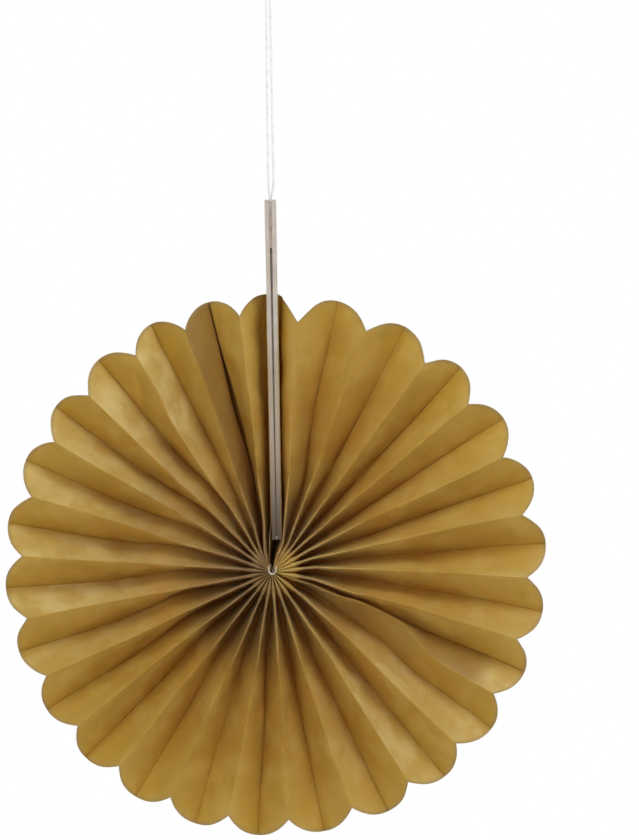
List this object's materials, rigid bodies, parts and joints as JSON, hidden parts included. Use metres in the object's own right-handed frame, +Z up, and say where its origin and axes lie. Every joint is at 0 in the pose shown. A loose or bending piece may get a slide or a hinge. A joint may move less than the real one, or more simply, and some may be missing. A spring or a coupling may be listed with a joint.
{
  "type": "paper fan medallion",
  "caption": "Round scalloped medallion of accordion-pleated tissue paper, opened in a full circle on card strips, hung by a thread loop.",
  "frame": {"origin": "centre of the hub, in the bore at half the fan's depth", "axes": "+Z up along the card strips, +Y from the viewed side to the back, +X to the viewer's right"},
  "size_m": [0.1521, 0.0126, 0.2618],
  "materials": {
    "tissue": "thin golden tissue paper with a soft satin sheen",
    "card": "plain uncoated greige card",
    "adhesive": "dull double-sided tape seen at its edge",
    "thread": "white twisted thread"
  },
  "bodies": {
    "root": {"paper_fan": "tissue", "left_strip": "card", "right_strip": "card", "adhesive_tape": "adhesive", "binding_thread": "thread", "hanging_string": "thread", "string_knot": "thread"}
  },
  "joints": []
}
